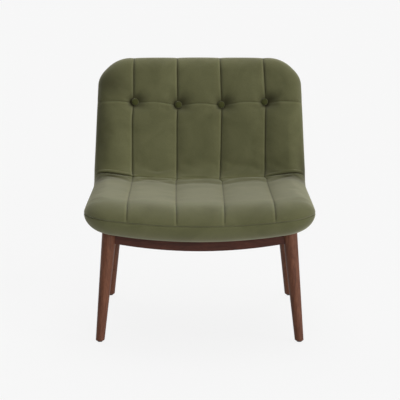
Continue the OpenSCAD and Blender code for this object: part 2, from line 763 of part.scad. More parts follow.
// Dowels: two from each rail end into the leg, stopped short of the leg's axis
function dowel_mid_h(s) = rail_top(leg_top_x - dowel_len / 2, s) - (rail_h - rail_end_loss) / 2;
dowel_start = dowel_d / 2 + overrun;
module joint_dowels(gap) {
    for (s = [front_leg_back, rear_leg_back], side = [-1, 1], row = [-0.5, 0.5]) {
        inward = s < seat_run / 2 ? 1 : -1;
        translate([side * leg_top_x, s, dowel_mid_h(s) + row * dowel_pitch]) {
            rotate([0, -90 * side, 0]) translate([0, 0, dowel_start - gap])
                cylinder(h = dowel_len + 2 * gap, d = dowel_d + 2 * gap, $fn = 32);
            rotate([-90 * inward, 0, 0]) translate([0, 0, dowel_start - gap])
                cylinder(h = dowel_len + 2 * gap, d = dowel_d + 2 * gap, $fn = 32);
        }
    }
}
module rail_dowels() { color(plywood) in_shell() joint_dowels(0); }

// Corner blocks, glued and screwed where the rails meet beside a leg
block_low = rail_end_loss - rail_h;
block_leg_gap = 0.4 * leg_top_d;
block_nose = 0.2 * block_len;
block_screw_x = 0.62 * block_len;
block_screw_in = 0.3 * rail_t;
block_screw_len = 2 * rail_t;
module at_corner(side, s) {
    inward = s < seat_run / 2 ? 1 : -1;
    face = rail_t / 2 + fit_gap;
    translate([side * (leg_top_x - face), s + inward * face, rail_top(leg_top_x, s)])
        mirror([side > 0 ? 1 : 0, 0, 0]) mirror([0, inward < 0 ? 1 : 0, 0]) children();
}
module corner_block(side, s) {
    color(plywood) in_shell() difference() {
        at_corner(side, s) translate([0, 0, block_low]) linear_extrude(block_h) polygon([
            [block_leg_gap, 0], [block_len, 0], [block_len, block_nose],
            [block_nose, block_len], [0, block_len], [0, block_leg_gap]
        ]);
        block_screws(hole_gap);
    }
}
module block_screws(gap) {
    for (side = [-1, 1], s = [front_leg_back, rear_leg_back]) at_corner(side, s)
        translate([0, 0, block_low + block_h / 2]) for (turn = [0, 1]) mirror([turn, -turn, 0])
            translate([block_screw_x, block_screw_len - rail_t + block_screw_in, 0]) rotate([90, 0, 0]) {
                out = gap > 0 ? block_len : 0;
                cylinder(h = block_screw_len + gap, d = screw_d + 2 * gap, $fn = 24);
                translate([0, 0, -out])
                    cylinder(h = out + screw_d / 2, d = screw_head_d + 2 * gap, $fn = 32);
            }
}
module corner_block_screws() { color(steel) in_shell() block_screws(0); }

// Bolts from the base's cross rails up into tee nuts in the shell's cross rails
function tee_top(s) =
    dish(bolt_x, s) + frame_rise - fit_gap - tee_flange_d / 2 * tan(dish_tilt(bolt_x, s));
function bolt_seat(s) = rail_top(bolt_x, s) - rail_h + counterbore_h;
module shell_bolts() {
    color(steel) in_shell() for (s = [front_leg_back, rear_leg_back]) bolt_pair(s)
        translate([0, 0, bolt_seat(s) - washer_t]) {
            cylinder(h = tee_top(s) - bolt_seat(s) + washer_t, d = bolt_d, $fn = 32);
            translate([0, 0, -bolt_head_h]) cylinder(h = bolt_head_h, d = bolt_head_d, $fn = 6);
        }
}
module bolt_washers() {
    color(steel) in_shell() for (s = [front_leg_back, rear_leg_back]) bolt_pair(s)
        translate([0, 0, bolt_seat(s) - washer_t]) difference() {
            cylinder(h = washer_t, d = washer_d, $fn = 48);
            translate([0, 0, -overrun])
                cylinder(h = washer_t + 2 * overrun, d = bolt_d + 2 * hole_gap, $fn = 32);
        }
}
module tee_nuts() {
    color(steel) in_shell() for (s = [front_leg_back, rear_leg_back]) bolt_pair(s)
        translate([0, 0, tee_top(s)]) difference() {
            union() {
                translate([0, 0, -tee_flange_t]) cylinder(h = tee_flange_t, d = tee_flange_d, $fn = 48);
                translate([0, 0, -tee_flange_t - tee_barrel_h])
                    cylinder(h = tee_barrel_h + tee_flange_t / 2, d = tee_barrel_d, $fn = 48);
            }
            translate([0, 0, -tee_barrel_h - tee_flange_t - overrun]) cylinder(
                h = tee_barrel_h + tee_flange_t + 2 * overrun, d = bolt_d + 2 * hole_gap, $fn = 32
            );
        }
}

front_leg(-1);  // front_leg_left
front_leg(1);  // front_leg_right
rear_leg(-1);  // rear_leg_left
rear_leg(1);  // rear_leg_right
base_cross_rail(front_leg_back);  // front_rail
base_cross_rail(rear_leg_back);  // rear_rail
side_rail(-1);  // side_rail_left
side_rail(1);  // side_rail_right
rail_dowels();
corner_block(-1, front_leg_back);  // corner_block_front_left
corner_block(1, front_leg_back);  // corner_block_front_right
corner_block(-1, rear_leg_back);  // corner_block_rear_left
corner_block(1, rear_leg_back);  // corner_block_rear_right
corner_block_screws();
foot_glides();
shell_bolts();
bolt_washers();
tee_nuts();
rib(-1);  // rib_left
rib(1);  // rib_right
cross_rail(cross_stations[0]);  // front_cross_rail
cross_rail(cross_stations[1]);  // rear_cross_rail
cross_rail(cross_stations[2]);  // lumbar_rail
cross_rail(cross_stations[3]);  // top_rail
frame_screws();
seat_webbing();
back_webbing();
seat_foam();
back_foam();
seat_face_cover();
back_face_cover();
underside_cover();
outside_back_cover();
tufting_button(button_xs[0]);  // button_1
tufting_button(button_xs[1]);  // button_2
tufting_button(button_xs[2]);  // button_3
tufting_button(button_xs[3]);  // button_4
button_twines();
twine_anchors();
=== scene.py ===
"""Looks of the armless lounge chair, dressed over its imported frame.

Everything is in metres, in the frame's own axes: x across, y from front to back, z up.
"""

import json
import math

import bpy
import numpy as np
from mathutils import Matrix, Vector


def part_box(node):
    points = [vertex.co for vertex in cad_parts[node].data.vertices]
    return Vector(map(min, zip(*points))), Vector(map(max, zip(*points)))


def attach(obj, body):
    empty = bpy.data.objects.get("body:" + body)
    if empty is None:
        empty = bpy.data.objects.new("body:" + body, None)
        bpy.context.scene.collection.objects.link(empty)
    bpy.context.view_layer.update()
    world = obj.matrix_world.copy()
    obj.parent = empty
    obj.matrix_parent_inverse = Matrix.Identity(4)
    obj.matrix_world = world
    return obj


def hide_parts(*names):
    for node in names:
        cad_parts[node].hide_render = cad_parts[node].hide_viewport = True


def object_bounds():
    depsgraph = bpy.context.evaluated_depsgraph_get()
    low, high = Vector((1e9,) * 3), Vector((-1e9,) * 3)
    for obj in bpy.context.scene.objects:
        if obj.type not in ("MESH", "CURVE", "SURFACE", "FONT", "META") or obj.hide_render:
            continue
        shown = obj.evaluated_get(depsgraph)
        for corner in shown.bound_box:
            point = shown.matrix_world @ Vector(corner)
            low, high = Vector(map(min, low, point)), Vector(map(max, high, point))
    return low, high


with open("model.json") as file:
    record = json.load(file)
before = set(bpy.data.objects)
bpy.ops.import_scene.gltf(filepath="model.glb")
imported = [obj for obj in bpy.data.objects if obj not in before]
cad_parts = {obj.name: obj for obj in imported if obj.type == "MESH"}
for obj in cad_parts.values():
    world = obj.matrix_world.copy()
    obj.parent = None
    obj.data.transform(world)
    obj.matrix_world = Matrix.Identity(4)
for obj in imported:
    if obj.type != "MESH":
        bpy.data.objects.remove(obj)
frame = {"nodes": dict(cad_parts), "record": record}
cad_bounds = [list(corner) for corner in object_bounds()]
scene = bpy.context.scene

# Camera

CAMERA_POS = (0.001, -4.810, 1.403)
CAMERA_PITCH = math.radians(12)
SENSOR_W = 36.0
FOCAL_LEN = 136.6

camera_data = bpy.data.cameras.new("photo_camera")
camera_data.sensor_width = SENSOR_W
camera_data.lens = FOCAL_LEN
camera = bpy.data.objects.new("photo_camera", camera_data)
camera.location = CAMERA_POS
camera.rotation_euler = (math.pi / 2 - CAMERA_PITCH, 0, 0)
scene.collection.objects.link(camera)
scene.camera = camera

# The shell's middle surface, with the sizes of the part's source

BODY_W = 0.706
BACK_TAPER = 0.014
SEAT_LEN = 0.589
BACK_LEN = 0.477
BEND_R = 0.110
SEAT_SLOPE = math.radians(3)
BACK_RECLINE = math.radians(18)
FRONT_SEAM_H = 0.379
DISH_FRONT = 0.027
DISH_BEND = 0.035
DISH_LUMBAR = 0.046
DISH_TOP = 0.027
NOSE_BOW = 0.013
TOP_CROWN = 0.007
FRONT_CORNER_R = 0.086
TOP_CORNER_R = 0.112
RIM_R = 0.055
SEAT_FACE_H = 0.055
BACK_FACE_H = 0.048
UNDER_H = 0.055
OUTBACK_H = 0.047
WATERFALL = 0.016
FACE_BEND_R = 0.105
QUILT_T = 0.010
FOAM_GAP = 0.0024
FOAM_RISE = 0.005
FOAM_INSET = 0.024
TUFT_HOLE_R = 0.006
BUTTON_R = 0.012
SIDE_THIN_SHARE = 0.15
CHANNEL_PITCH = 0.151
ROW_DROP = 0.169
ROW_RISE = 0.022
CREASE_ANGLE = math.radians(42)
END_ZONE = 0.130
# The scene's own: the face's softer front rim, the ease at the ends of its bend, and how far its crease lies
# below the joint of the foams
FRONT_RIM_R = 0.100
FRONT_RIM_POWER, RIM_POWER = 3.0, 2.0
BEND_EASE, BEND_EASE_W = 0.0018, 0.045
CREASE_DROP = 0.013

FRONT_Y = cad_bounds[0][1]
HALF_W = BODY_W / 2
BEND_ANGLE = math.pi / 2 - BACK_RECLINE + SEAT_SLOPE
BEND_REACH = BEND_R * math.tan(BEND_ANGLE / 2)
SEAT_RUN = SEAT_LEN - BEND_REACH
BEND_RUN = BEND_R * BEND_ANGLE
BACK_START = SEAT_RUN + BEND_RUN
BODY_RUN = BACK_START + BACK_LEN - BEND_REACH
FOAM_JOINT_S = SEAT_RUN + BEND_R * CREASE_ANGLE
CREASE_S = FOAM_JOINT_S - CREASE_DROP
ROW_S = BODY_RUN - ROW_DROP
COVER_JOINT_S = SEAT_RUN + BEND_RUN / 2
SEAM_XS = [share * CHANNEL_PITCH for share in (-1.5, -0.5, 0.5, 1.5)]


def heading(s):
    """The slope of the side profile against the seat."""
    return BEND_ANGLE * np.clip((s - SEAT_RUN) / BEND_RUN, 0, 1)


def profile(s):
    """How far back and how high the side profile is, along and square to the seat."""
    turn = heading(s)
    beyond = np.maximum(0, s - BACK_START)
    along = np.minimum(s, SEAT_RUN) + BEND_R * np.sin(turn) + beyond * np.cos(turn)
    return along, BEND_R * (1 - np.cos(turn)) + beyond * np.sin(turn)


def dish(x, s):
    """How much the middle surface rises from its middle to x."""
    stations = [0, SEAT_RUN, BACK_START, BODY_RUN]
    depth = np.interp(s, stations, [DISH_FRONT, DISH_BEND, DISH_LUMBAR, DISH_TOP])
    radius = (HALF_W**2 / depth + depth) / 2
    return radius - np.sqrt(radius**2 - x**2)


def across(x):
    """The square of the share of the half width that x is out."""
    return (x / HALF_W) ** 2


def thinned(x):
    """The share of the padding's height that is left at x."""
    return 1 - SIDE_THIN_SHARE * across(x)


def bend_fill(s):
    """Padding that eases the face's bend to its own, larger radius."""
    tight = BEND_R - (SEAT_FACE_H + BACK_FACE_H) / 2
    extra = FACE_BEND_R - tight
    off = np.abs(s - COVER_JOINT_S)
    turn = np.minimum(off / BEND_RUN, 0.5) * BEND_ANGLE
    centres = extra / math.cos(BEND_ANGLE / 2)
    inside = tight + centres * np.cos(turn) - np.sqrt(FACE_BEND_R**2 - (centres * np.sin(turn)) ** 2)
    left = np.maximum(0, extra * math.tan(BEND_ANGLE / 2) - np.maximum(0, off - BEND_RUN / 2))
    beyond = FACE_BEND_R - np.sqrt(FACE_BEND_R**2 - left**2)
    ends = off - BEND_RUN / 2 - extra * math.tan(BEND_ANGLE / 2)
    ease = BEND_EASE * np.exp(-((ends / BEND_EASE_W) ** 2))
    return np.where(off < BEND_RUN / 2, inside, beyond) + ease


def face_rise(s):
    """The face's height over the middle surface, inside its rim."""
    front = np.clip(1 - s / END_ZONE, 0, 1) ** 2
    plain = np.interp(s, [SEAT_RUN, BACK_START], [SEAT_FACE_H, BACK_FACE_H])
    return plain - WATERFALL * front + bend_fill(s)


def outer_drop(s):
    """The outer cover's depth below the middle surface, inside its rim."""
    return np.interp(s, [SEAT_RUN, BACK_START], [UNDER_H, OUTBACK_H])


def edge_gap(x, s):
    """Distance inside the pattern's outline."""
    radius = np.where(s < BODY_RUN / 2, FRONT_CORNER_R, TOP_CORNER_R)
    over_x = np.abs(x) - HALF_W + radius
    over_s = np.abs(s - BODY_RUN / 2) - BODY_RUN / 2 + radius
    outside = np.hypot(np.maximum(over_x, 0), np.maximum(over_s, 0))
    return radius - outside - np.minimum(np.maximum(over_x, over_s), 0)


def end_s(x, radius, inset):
    """Distance from the end of the pattern to its outline, at x."""
    over = np.clip(np.abs(x) - HALF_W + radius, 0, radius - inset)
    return radius - np.sqrt((radius - inset) ** 2 - over**2)


def zoned_s(x, level, inset=0.0):
    """Levels near the two ends follow the outline's rounded corners."""
    first = end_s(x, FRONT_CORNER_R, inset)
    last = BODY_RUN - end_s(x, TOP_CORNER_R, inset)
    top_zone = BODY_RUN - END_ZONE
    front = first + (END_ZONE - first) * level / END_ZONE
    top = last - (last - top_zone) * (BODY_RUN - level) / END_ZONE
    return np.where(level < END_ZONE, front, np.where(level > top_zone, top, level))


def fade(distance):
    """1 at a place, 0 from the end zone's depth away from it."""
    return np.maximum(0, 1 - np.abs(distance) / END_ZONE)


def rounding(gap, radius=RIM_R, power=RIM_POWER):
    """The share of the full height that the rounded rim leaves at a distance inside the outline."""
    return np.sqrt(1 - (1 - np.clip(gap / radius, 0, 1)) ** power)


def face_rounding(gap, s):
    """The face's rim is rounder and eases in more softly at the front edge."""
    zone = [FRONT_CORNER_R, END_ZONE]
    radius = np.interp(s, zone, [FRONT_RIM_R, RIM_R])
    return rounding(gap, radius, np.interp(s, zone, [FRONT_RIM_POWER, RIM_POWER]))


def placed(x, s, h):
    """World points at height h over the middle surface."""
    wide = x * np.interp(s, [BACK_START, BODY_RUN], [1, 1 - BACK_TAPER / HALF_W])
    bow = NOSE_BOW * fade(s) - TOP_CROWN * fade(BODY_RUN - s) + ROW_RISE * fade(s - ROW_S)
    along = s + across(x) * bow
    run, rise = profile(along)
    lift = h + dish(wide, along)
    back = run - lift * np.sin(heading(along))
    up = rise + lift * np.cos(heading(along))
    return np.stack([
        wide,
        FRONT_Y + back * math.cos(SEAT_SLOPE) + up * math.sin(SEAT_SLOPE),
        FRONT_SEAM_H - back * math.sin(SEAT_SLOPE) + up * math.cos(SEAT_SLOPE),
    ], axis=-1)


# Grids on the surface

FINEST_STEP = 0.0012
FINE_STEP = 0.0016
COARSE_STEP = 0.0065
OUTER_STEP = 2 * COARSE_STEP
STEP_GROWTH = 0.22
PLACE_DIGITS = 6
TINY = 1e-12
# Finer levels round a seam of the face, and round the seam of the outer cover
SEAM_ZONE = 0.06
OUTER_ZONE = 0.05
# Even levels from below to above the bow of the cross seam
ROW_BELOW, ROW_ABOVE = 0.018, 0.006
ROW_STEP = 0.0020


def graded(start, stop, first_step=FINE_STEP):
    """Places from start to stop, fine near start and coarser away from it."""
    distance, step, places = 0.0, first_step, []
    while distance < abs(stop - start):
        places.append(distance)
        distance += step
        step = min(COARSE_STEP, step * (1 + STEP_GROWTH))
    scale = abs(stop - start) / distance
    return [start + math.copysign(place * scale, stop - start) for place in places]


def between(stops):
    """Places between neighbouring stops, fine near each."""
    places = []
    for low, high in zip(stops, stops[1:]):
        middle = (low + high) / 2
        places += graded(low, middle) + [middle] + graded(high, middle)
    return places


def rim_places():
    """Distances inside the seam, spaced along the rim's quarter round."""
    quarter = RIM_R * math.pi / 2
    arcs = graded(0, quarter, FINEST_STEP) + [quarter]
    return [RIM_R * (1 - math.cos(arc / RIM_R)) for arc in arcs]


def even(low, high, step):
    """Places from low to high, evenly spaced by a step or less."""
    count = max(2, math.ceil((high - low) / step))
    return [low + (high - low) * k / count for k in range(count + 1)]


def tidy_places(places):
    """Places in order, each once."""
    return np.unique(np.round(places, PLACE_DIGITS))


rim = rim_places()
inner_x = HALF_W - RIM_R
rim_columns = [side * (HALF_W - gap) for gap in rim for side in (-1, 1)]
rim_levels = rim + [BODY_RUN - gap for gap in rim]
face_columns = tidy_places(between([-inner_x] + SEAM_XS + [inner_x]) + rim_columns)
face_levels = tidy_places(
    rim_levels
    + even(RIM_R, CREASE_S - SEAM_ZONE, COARSE_STEP)
    + between([CREASE_S - SEAM_ZONE, CREASE_S, CREASE_S + SEAM_ZONE])
    + even(CREASE_S + SEAM_ZONE, ROW_S - SEAM_ZONE, COARSE_STEP)
    + graded(ROW_S - ROW_BELOW, ROW_S - SEAM_ZONE)
    + even(ROW_S - ROW_BELOW, ROW_S + ROW_ABOVE, ROW_STEP)
    + graded(ROW_S + ROW_ABOVE, ROW_S + SEAM_ZONE)
    + even(ROW_S + SEAM_ZONE, BODY_RUN - RIM_R, COARSE_STEP)
)
outer_columns = tidy_places(even(-inner_x, inner_x, OUTER_STEP) + rim_columns)
outer_levels = tidy_places(
    rim_levels
    + even(RIM_R, COVER_JOINT_S - OUTER_ZONE, OUTER_STEP)
    + between([COVER_JOINT_S - OUTER_ZONE, COVER_JOINT_S, COVER_JOINT_S + OUTER_ZONE])
    + even(COVER_JOINT_S + OUTER_ZONE, BODY_RUN - RIM_R, OUTER_STEP)
)


def grid_normals(points):
    """Unit normals of a grid of points."""
    normal = np.cross(np.gradient(points, axis=1), np.gradient(points, axis=0))
    return normal / np.maximum(np.linalg.norm(normal, axis=-1, keepdims=True), TINY)


def make_object(name, points, polygons):
    """A smooth-shaded mesh object in the scene."""
    mesh = bpy.data.meshes.new(name)
    mesh.from_pydata(points, [], polygons)
    mesh.update()
    mesh.polygons.foreach_set("use_smooth", [True] * len(mesh.polygons))
    piece = bpy.data.objects.new(name, mesh)
    scene.collection.objects.link(piece)
    return piece


def drop(piece):
    """Removes a piece and its mesh."""
    mesh = piece.data
    bpy.data.objects.remove(piece)
    bpy.data.meshes.remove(mesh)


def evaluated(piece):
    """A piece as its modifiers make it."""
    return piece.evaluated_get(bpy.context.evaluated_depsgraph_get())


def grid_quads(rows, columns, first=0):
    """The faces of a grid of points that are numbered from first."""
    index = first + np.arange(rows * columns).reshape(rows, columns)
    corners = [index[:-1, :-1], index[:-1, 1:], index[1:, 1:], index[1:, :-1]]
    return np.stack(corners, axis=-1).reshape(-1, 4)


def closed_object(name, upper, lower):
    """A closed mesh between two grids of points of one size, upper outwards."""
    rows, columns = upper.shape[:2]
    count = rows * columns
    loop = list(range(columns - 1))
    loop += [j * columns + columns - 1 for j in range(rows - 1)]
    loop += [(rows - 1) * columns + i for i in range(columns - 1, 0, -1)]
    loop += [j * columns for j in range(rows - 1, 0, -1)]
    walls = [(b, a, a + count, b + count) for a, b in zip(loop, loop[1:] + loop[:1])]
    points = np.concatenate([upper.reshape(-1, 3), lower.reshape(-1, 3)])
    back = grid_quads(rows, columns, count)[:, ::-1]
    return make_object(name, points.tolist(), grid_quads(rows, columns).tolist() + back.tolist() + walls)


# How the face is drawn in

# Millimetres in a metre, for the tables of folds and brushed places
MM = 1000
# Where the hand-sewn seams stray from their straight lines, seam by seam from the left
WANDER_LEVELS = [0, 0.09, CREASE_S - 0.05, CREASE_S, ROW_S - 0.06, ROW_S, BODY_RUN]
WANDER = [
    [0.008, 0.007, 0.003, 0.005, -0.003, 0.000, -0.005],
    [0.007, 0.004, -0.003, 0.000, -0.002, 0.000, -0.004],
    [0.000, 0.000, 0.000, -0.009, -0.001, 0.000, -0.004],
    [0.002, 0.000, -0.004, -0.012, -0.003, 0.000, -0.003],
]
SEAM_GROOVE, SEAM_GROOVE_W = 0.0050, 0.0030
SEAM_SHOULDER, SEAM_SHOULDER_W = 0.0048, 0.020
SEAM_PULL_LEVELS = [0.05, 0.12, SEAT_RUN, BACK_START]
SEAM_PULL = [0.6, 0.3, 0.3, 1.0]
ROW_GROOVE, ROW_GROOVE_W = 0.0028, 0.0026
ROW_SHOULDER, ROW_SHOULDER_W = 0.0030, 0.020
ROW_ARCH = 0.005
ROW_SIDE_FALL = 0.018
ROW_LEAST_PULL, ROW_PULL_POWER = 0.5, 1.5
TUFT_DEPTH, TUFT_W, TUFT_FLAT_R = 0.021, 0.017, 0.010
TUFT_LEAN, TUFT_LEAN_ANGLE = 0.40, math.radians(38)
TUFT_POWER = 1.3
DIMPLE_FLOOR = 0.0255
CREASE_GROOVE, CREASE_GROOVE_W = 0.0026, 0.0034
CREASE_SHOULDER, CREASE_SHOULDER_W = 0.0012, 0.024
CREASE_LEAST_PULL = 0.5
EDGE_GROOVE, EDGE_GROOVE_W = 0.0032, 0.0026
COVER_WALL, RIM_WALL = 0.0035, 0.0015
RIM_LEAST_DRAW = 0.35
# How uneven a sewn line is: share of its depth, phase and wavelength
SEAM_UNEVEN = (0.15, 1.0, 0.021)
EDGE_UNEVEN = (0.12, 0.4, 0.017)
# The waves that make up an uneven line: height, count in a wavelength, share of the phase
UNEVEN_WAVES = [(1, 1, 1), (0.6, 1.73, 2.1), (0.4, 2.9, 3.7)]


def unevenness(along, share, phase, wavelength):
    """A factor that wanders smoothly about 1, by up to the share."""
    turns = along * 2 * math.pi / wavelength
    waves = sum(height * np.sin(count * turns + lead * phase) for height, count, lead in UNEVEN_WAVES)
    return 1 + share * (waves / 2)


def seam_x(k, s):
    """Where a channel seam runs."""
    return SEAM_XS[k] + np.interp(s, WANDER_LEVELS, WANDER[k])


def seam_gap(x, s):
    """Distance to the nearest channel seam."""
    return np.min([np.abs(x - seam_x(k, s)) for k in range(len(SEAM_XS))], axis=0)


def panel_share(x, s):
    """0 at the seams, 1 in the middle of a panel."""
    return np.clip(seam_gap(x, s) / (CHANNEL_PITCH / 2), 0, 1)


def groove(distance, width, depth):
    """A round-bottomed groove."""
    return depth * np.exp(-((distance / width) ** 2))


def shoulder(distance, width, depth):
    """The wide fall of the padding towards a seam."""
    return depth * np.exp(-np.abs(distance) / width)


# Folds of the cover, in millimetres: from (x, s), to (x, s), depth of the fold, height of its roll, width.
# The s of the crease's folds is measured from the crease, and that of the pleats from the cross seam.
CREASE_FOLDS = [
    ((-344, 30), (-206, -4), 9.0, 4.2, 9),
    ((-312, 46), (-222, 20), 3.0, 3.0, 5),
    ((348, 30), (212, -4), 9.0, 4.2, 9),
    ((330, 46), (236, 22), 3.0, 3.0, 5),
    ((-70, -22), (66, -24), 1.2, 0.8, 4),
    ((-64, 13), (60, 12), 0.9, 0.8, 4),
    ((-215, 4), (-120, -8), 1.2, 0.8, 4),
    ((95, -12), (205, -6), 1.2, 0.8, 4),
]
PLEATS = [
    ((6, 3), (44, 16), 3.0, 0.6, 11),
    ((4, 8), (24, 46), 2.4, 0.5, 9),
    ((6, -5), (34, -18), 1.4, 0.5, 7),
    ((-6, -8), (-24, -24), 0.8, 0.4, 5),
    ((-8, 4), (-36, 10), 0.8, 0.4, 5),
]
# A fold swells and dies away along its length, by these powers
FOLD_REACH_POWER, FOLD_BODY_POWER = 0.75, 0.7
# Its width at its start, what it loses by its end, and its roll's place and width, as shares of its width
FOLD_START_SHARE, FOLD_TAPER_SHARE = 1.5, 0.9
ROLL_OFF_SHARE, ROLL_WIDTH_SHARE = 1.9, 1.1


def fold_line(x, s, start, stop, depth, roll, width):
    """A fold from start to stop, with a roll of fabric standing on its upper side."""
    along = np.array(stop) - np.array(start)
    length = np.hypot(*along)
    ux, us = along / length
    t = ((x - start[0]) * ux + (s - start[1]) * us) / length
    off = -(x - start[0]) * us + (s - start[1]) * ux
    if ux < 0:
        off = -off
    t = np.clip(t, 0, 1)
    body = np.sin(math.pi * t**FOLD_REACH_POWER) ** FOLD_BODY_POWER
    width = width * (FOLD_START_SHARE - FOLD_TAPER_SHARE * t)
    lifted = groove(off - ROLL_OFF_SHARE * width, ROLL_WIDTH_SHARE * width, roll)
    return body * (groove(off, width, depth) - lifted)


def folds(x, s, table, origin_x, origin_s):
    """The depth of a table's folds. Their rolls count as less than none."""
    total = 0
    for start, stop, depth, roll, width in table:
        begin = (origin_x + start[0] / MM, origin_s + start[1] / MM)
        end = (origin_x + stop[0] / MM, origin_s + stop[1] / MM)
        total = total + fold_line(x, s, begin, end, depth / MM, roll / MM, width / MM)
    return total


def row_line(x, share):
    """The cross seam bows up between the channels and falls away towards the sides."""
    side = np.clip((np.abs(x) - SEAM_XS[-1]) / (HALF_W - SEAM_XS[-1]), 0, 1)
    return ROW_S + ROW_ARCH * np.sin(share * math.pi / 2) ** 2 - ROW_SIDE_FALL * side


def row_pull(share):
    """The cross seam draws in most where it meets the channels."""
    return ROW_LEAST_PULL + (1 - ROW_LEAST_PULL) * (1 - share) ** ROW_PULL_POWER


def tuft_reach(x, s, k):
    """Distance outside the flat middle of a tuft."""
    return np.maximum(0, np.hypot(x - seam_x(k, ROW_S), s - ROW_S) - TUFT_FLAT_R)


def drawn_in(x, s):
    """How deep the seams, folds and tufts draw the face in."""
    gap = seam_gap(x, s)
    share = panel_share(x, s)
    pull = np.interp(s, SEAM_PULL_LEVELS, SEAM_PULL)
    depth = pull * groove(gap, SEAM_GROOVE_W, SEAM_GROOVE) * unevenness(s, *SEAM_UNEVEN)
    depth += pull * shoulder(gap, SEAM_SHOULDER_W, SEAM_SHOULDER)
    row = s - row_line(x, share)
    near = row_pull(share)
    depth += near * groove(row, ROW_GROOVE_W, ROW_GROOVE) + near * shoulder(row, ROW_SHOULDER_W, ROW_SHOULDER)
    crease = s - CREASE_S
    near = CREASE_LEAST_PULL + (1 - CREASE_LEAST_PULL) * (1 - share)
    depth += near * groove(crease, CREASE_GROOVE_W, CREASE_GROOVE)
    depth += shoulder(crease, CREASE_SHOULDER_W, CREASE_SHOULDER)
    depth += folds(x, s, CREASE_FOLDS, 0, CREASE_S)
    for k in range(len(SEAM_XS)):
        centre = seam_x(k, ROW_S)
        angle = np.arctan2(s - ROW_S, x - centre)
        width = TUFT_W * (1 + TUFT_LEAN * np.cos(angle - TUFT_LEAN_ANGLE))
        depth += TUFT_DEPTH * np.exp(-((tuft_reach(x, s, k) / width) ** TUFT_POWER))
        depth += folds(x, s, PLEATS, centre, ROW_S)
    return DIMPLE_FLOOR * np.tanh(depth / DIMPLE_FLOOR)


def follow_seams(columns, levels):
    """A grid of x and s whose columns stray with the seams."""
    x, level = np.meshgrid(columns, levels)
    knots = [-inner_x] + SEAM_XS + [inner_x]
    strays = [np.zeros(len(levels))] + [seam_x(k, levels) - SEAM_XS[k] for k in range(len(SEAM_XS))]
    strays = np.stack(strays + [np.zeros(len(levels))], axis=1)
    x = x + np.stack([np.interp(columns, knots, stray) for stray in strays])
    return x, zoned_s(x, level)


def rim_arc(gap):
    """Distance from the seam along the rim's quarter round."""
    return RIM_R * np.arccos(1 - np.clip(gap / RIM_R, 0, 1))


def edge_line(gap, x, s):
    """The groove along the edge seam."""
    return groove(rim_arc(gap), EDGE_GROOVE_W, EDGE_GROOVE) * unevenness(x + s, *EDGE_UNEVEN)


def cover_layers(smooth, normal, inward, gap):
    """The outside and inside of a cover whose wall thins towards the edge seam."""
    wall = RIM_WALL + (COVER_WALL - RIM_WALL) * np.clip(gap / RIM_R, 0, 1)
    return smooth - normal * inward[..., None], smooth - normal * (inward + wall)[..., None]


def face_layers(columns, levels, puff):
    """The quilted face and the inside of its cover."""
    x, s = follow_seams(columns, levels)
    gap = edge_gap(x, s)
    smooth = placed(x, s, face_rounding(gap, s) * face_rise(s) * thinned(x))
    draw_share = RIM_LEAST_DRAW + (1 - RIM_LEAST_DRAW) * np.clip(gap / RIM_R, 0, 1)
    inward = drawn_in(x, s) * draw_share + edge_line(gap, x, s) - puff
    return cover_layers(smooth, grid_normals(smooth), inward, gap)


# Painted light on the velvet, kept with its dark seam lines: 0 is a painted highlight, the level below is
# plain pile, 1 is a seam line or painted shade at its darkest

UNPAINTED_LEVEL = 0.25
# Patches of painted shade beside the crease's puckers, on the right wing and on the back's left shoulder: x
# and s in millimetres, half widths across and along, how dark.
# The s is measured from the crease.
PAINTED_SHADE_PATCHES = [
    (-340, -70, 34, 72, 0.75),
    (-300, -50, 44, 52, 0.70),
    (350, -70, 34, 72, 0.80),
    (308, -54, 44, 56, 0.75),
    (356, 50, 26, 90, 0.95),
    (242, 44, 38, 44, 0.36),
    (-354, 230, 46, 170, 0.60),
    (-312, 360, 60, 56, 0.62),
]
# A patch of painted shade to the upper right of each tuft, measured from its middle
TUFT_PAINTED_SHADE = (10, 8, 27, 21, 0.85)
# Dark seam lines along the seams and the edge; painted shade in the tufts' pits and in the folds; painted
# highlights on the folds' rolls, beside the seams, along the crease and along the top edge
SEAM_PRESSED, EDGE_PRESSED, PRESSED_W = 0.9, 0.5, 0.0014
PRESSED_FADE = 0.004
TUFT_SHADE_W, TUFT_SHADE_POWER = 0.009, 1.5
FOLD_FULL_DEPTH, FOLD_FULL_ROLL = 0.005, 0.0025
LIT_STRIP, LIT_STRIP_OFF, LIT_STRIP_W = 0.7, 0.0055, 0.0026
LIT_CREASE, LIT_TOP = 0.85, 0.9
LIT_BAND_HALF_W, LIT_BAND_FADE, LIT_BAND_RUN = 0.30, 0.08, 0.024


def painted_shade_patch(x, s, centre, along, half_w, half_run, dark):
    """A soft patch of painted shade."""
    reach = np.hypot((x - centre / MM) / (half_w / MM), (s - along / MM) / (half_run / MM))
    return dark * np.exp(-(reach**2))


